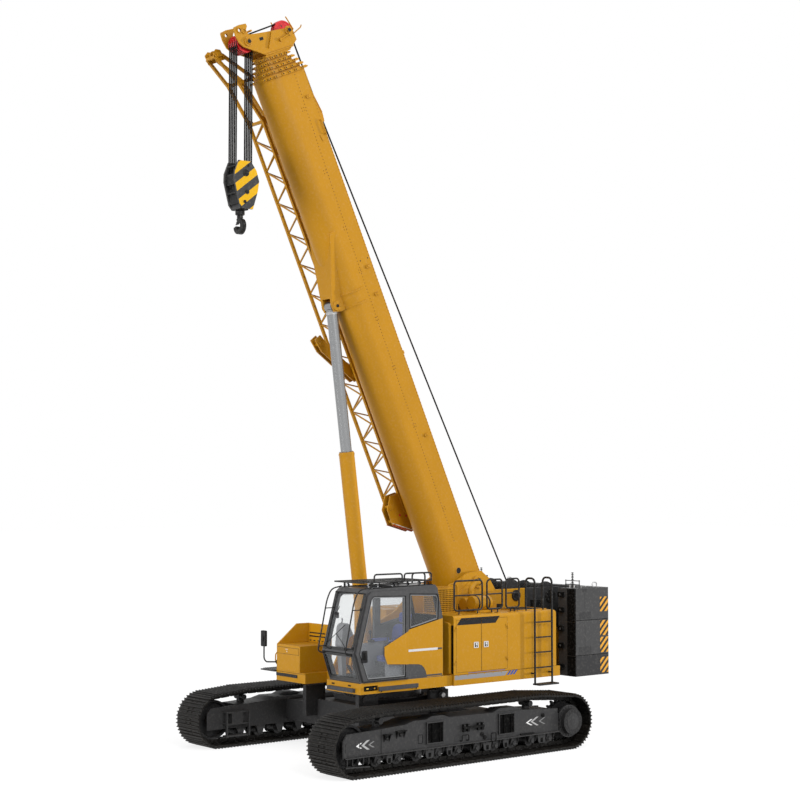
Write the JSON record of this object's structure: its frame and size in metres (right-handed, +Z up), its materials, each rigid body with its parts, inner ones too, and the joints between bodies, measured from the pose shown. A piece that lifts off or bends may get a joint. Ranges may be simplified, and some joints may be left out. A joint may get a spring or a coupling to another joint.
{
  "type": "telescopic boom crawler crane",
  "caption": "Crawler crane with a telescopic boom raised on one luffing cylinder, a cab at its left, a counterweight behind and a folded lattice jib along the boom.",
  "frame": {"origin": "on the ground under the slewing axis", "axes": "-Y forward, +X the machine's left, where its cab is, +Z up"},
  "size_m": [4.96, 8.1702, 13.4504],
  "materials": {
    "track_steel": "worn, dusty",
    "frame_grey": "satin",
    "yellow_paint": "gloss",
    "grey_paint": "satin",
    "dark_plastic": "matte",
    "glass": "clear, tinted",
    "seat_cloth": "woven",
    "chrome": "polished",
    "red_plastic": "satin",
    "rope_steel": "greased",
    "bare_steel": "brushed"
  },
  "bodies": {
    "undercarriage": {"track_left": "track_steel", "track_right": "track_steel", "track_frames": "frame_grey", "rollers": "track_steel", "idlers": "track_steel", "sprockets": "frame_grey", "carbody": "frame_grey"},
    "upper": {"turntable_frame": "yellow_paint", "winch_frame": "frame_grey", "side_decks": "yellow_paint", "engine_hood": "yellow_paint", "engine_block": "grey_paint", "right_housing": "yellow_paint", "tool_box": "yellow_paint", "counterweight_base": "grey_paint", "counterweight_middle": "grey_paint", "counterweight_top": "grey_paint", "handrails": "dark_plastic", "ladder": "dark_plastic", "cab_shell": "grey_paint", "cab_glass": "glass", "operator_seat": "seat_cloth", "control_console": "grey_paint", "cab_guards": "dark_plastic", "mirror": "dark_plastic"},
    "main_winch": {"winch_main": "rope_steel"},
    "aux_winch": {"winch_aux": "rope_steel"},
    "hood_door_a": {"hood_door_front": "yellow_paint"},
    "hood_door_b": {"hood_door_rear": "yellow_paint"},
    "sliding_door": {"cab_door": "grey_paint", "door_glass": "glass"},
    "boom": {"boom_base": "yellow_paint", "fly_jib": "yellow_paint", "hoist_rope": "rope_steel"},
    "tele_2": {"boom_section_2": "yellow_paint"},
    "tele_3": {"boom_section_3": "yellow_paint"},
    "tele_4": {"boom_section_4": "yellow_paint"},
    "tele_5": {"boom_section_5": "yellow_paint", "boom_head": "yellow_paint"},
    "lower_sheaves": {"head_sheaves": "red_plastic"},
    "upper_sheaves": {"rear_sheaves": "red_plastic"},
    "rope_roller": {"guide_roller": "bare_steel"},
    "luff_rod": {"luff_cylinder_rod": "chrome"},
    "luff_barrel": {"luff_cylinder_barrel": "yellow_paint"},
    "block": {"rope_falls": "rope_steel", "hook_block": "yellow_paint"},
    "hook": {"crane_hook": "frame_grey"}
  },
  "joints": [
    {"name": "slew", "type": "hinge", "parent": "undercarriage", "child": "upper", "pos_m": [0, 0, 1.11], "axis": [0, 0, 1], "continuous": true},
    {"name": "luff", "type": "hinge", "parent": "upper", "child": "boom", "pos_m": [0, 1.98, 3.05], "axis": [-1, 0, 0], "range_deg": [-59.2, 12.8]},
    {"name": "tele_2_slide", "type": "slide", "parent": "boom", "child": "tele_2", "axis": [0, -0.4195, 0.9078], "range_m": [0, 7.2]},
    {"name": "tele_3_slide", "type": "slide", "parent": "tele_2", "child": "tele_3", "axis": [0, -0.4195, 0.9078], "range_m": [0, 7.2]},
    {"name": "tele_4_slide", "type": "slide", "parent": "tele_3", "child": "tele_4", "axis": [0, -0.4195, 0.9078], "range_m": [0, 7.2]},
    {"name": "tele_5_slide", "type": "slide", "parent": "tele_4", "child": "tele_5", "axis": [0, -0.4195, 0.9078], "range_m": [0, 7.2]},
    {"name": "rod_eye", "type": "hinge", "parent": "boom", "child": "luff_rod", "pos_m": [0, -1.26437, 8.25958], "axis": [-1, 0, 0], "range_deg": [-4, 2]},
    {"name": "cylinder_stroke", "type": "slide", "parent": "luff_rod", "child": "luff_barrel", "axis": [0, 0.1301, -0.9915], "range_m": [-2.6, 0.6]},
    {"name": "lower_sheave_spin", "type": "hinge", "parent": "tele_5", "child": "lower_sheaves", "pos_m": [0, -3.31613, 12.86687], "axis": [1, 0, 0], "continuous": true},
    {"name": "upper_sheave_spin", "type": "hinge", "parent": "tele_5", "child": "upper_sheaves", "pos_m": [0, -2.4399, 13.23539], "axis": [1, 0, 0], "continuous": true},
    {"name": "rope_roller_spin", "type": "hinge", "parent": "boom", "child": "rope_roller", "pos_m": [0, -1.60813, 11.76905], "axis": [1, 0, 0], "continuous": true},
    {"name": "block_hang", "type": "hinge", "parent": "tele_5", "child": "block", "pos_m": [0, -3.31613, 12.86687], "axis": [-1, 0, 0], "range_deg": [-15, 62]},
    {"name": "hook_swivel", "type": "hinge", "parent": "block", "child": "hook", "pos_m": [0, -3.31613, 9.85656], "axis": [0, 0, 1], "continuous": true},
    {"name": "main_winch_spin", "type": "hinge", "parent": "upper", "child": "main_winch", "pos_m": [0, 3, 2.785], "axis": [1, 0, 0], "continuous": true},
    {"name": "aux_winch_spin", "type": "hinge", "parent": "upper", "child": "aux_winch", "pos_m": [0, 3.95, 2.715], "axis": [1, 0, 0], "continuous": true},
    {"name": "cab_door_slide", "type": "slide", "parent": "upper", "child": "sliding_door", "axis": [0, 1, 0], "range_m": [0, 0.8]},
    {"name": "hood_door_front_hinge", "type": "hinge", "parent": "upper", "child": "hood_door_a", "pos_m": [1.5093, 0.503, 1.955], "axis": [0, 0, -1], "range_deg": [0, 105]},
    {"name": "hood_door_rear_hinge", "type": "hinge", "parent": "upper", "child": "hood_door_b", "pos_m": [1.5093, 1.787, 1.955], "axis": [0, 0, 1], "range_deg": [0, 105]}
  ],
  "couplings": [
    {"joint": "tele_3_slide", "follows": "tele_2_slide", "ratio": 1},
    {"joint": "tele_4_slide", "follows": "tele_2_slide", "ratio": 1},
    {"joint": "tele_5_slide", "follows": "tele_2_slide", "ratio": 1},
    {"joint": "rod_eye", "follows": "luff", "ratio": 0.055},
    {"joint": "cylinder_stroke", "follows": "luff", "m_per_rad": 2.47},
    {"joint": "block_hang", "follows": "luff", "ratio": -1}
  ]
}
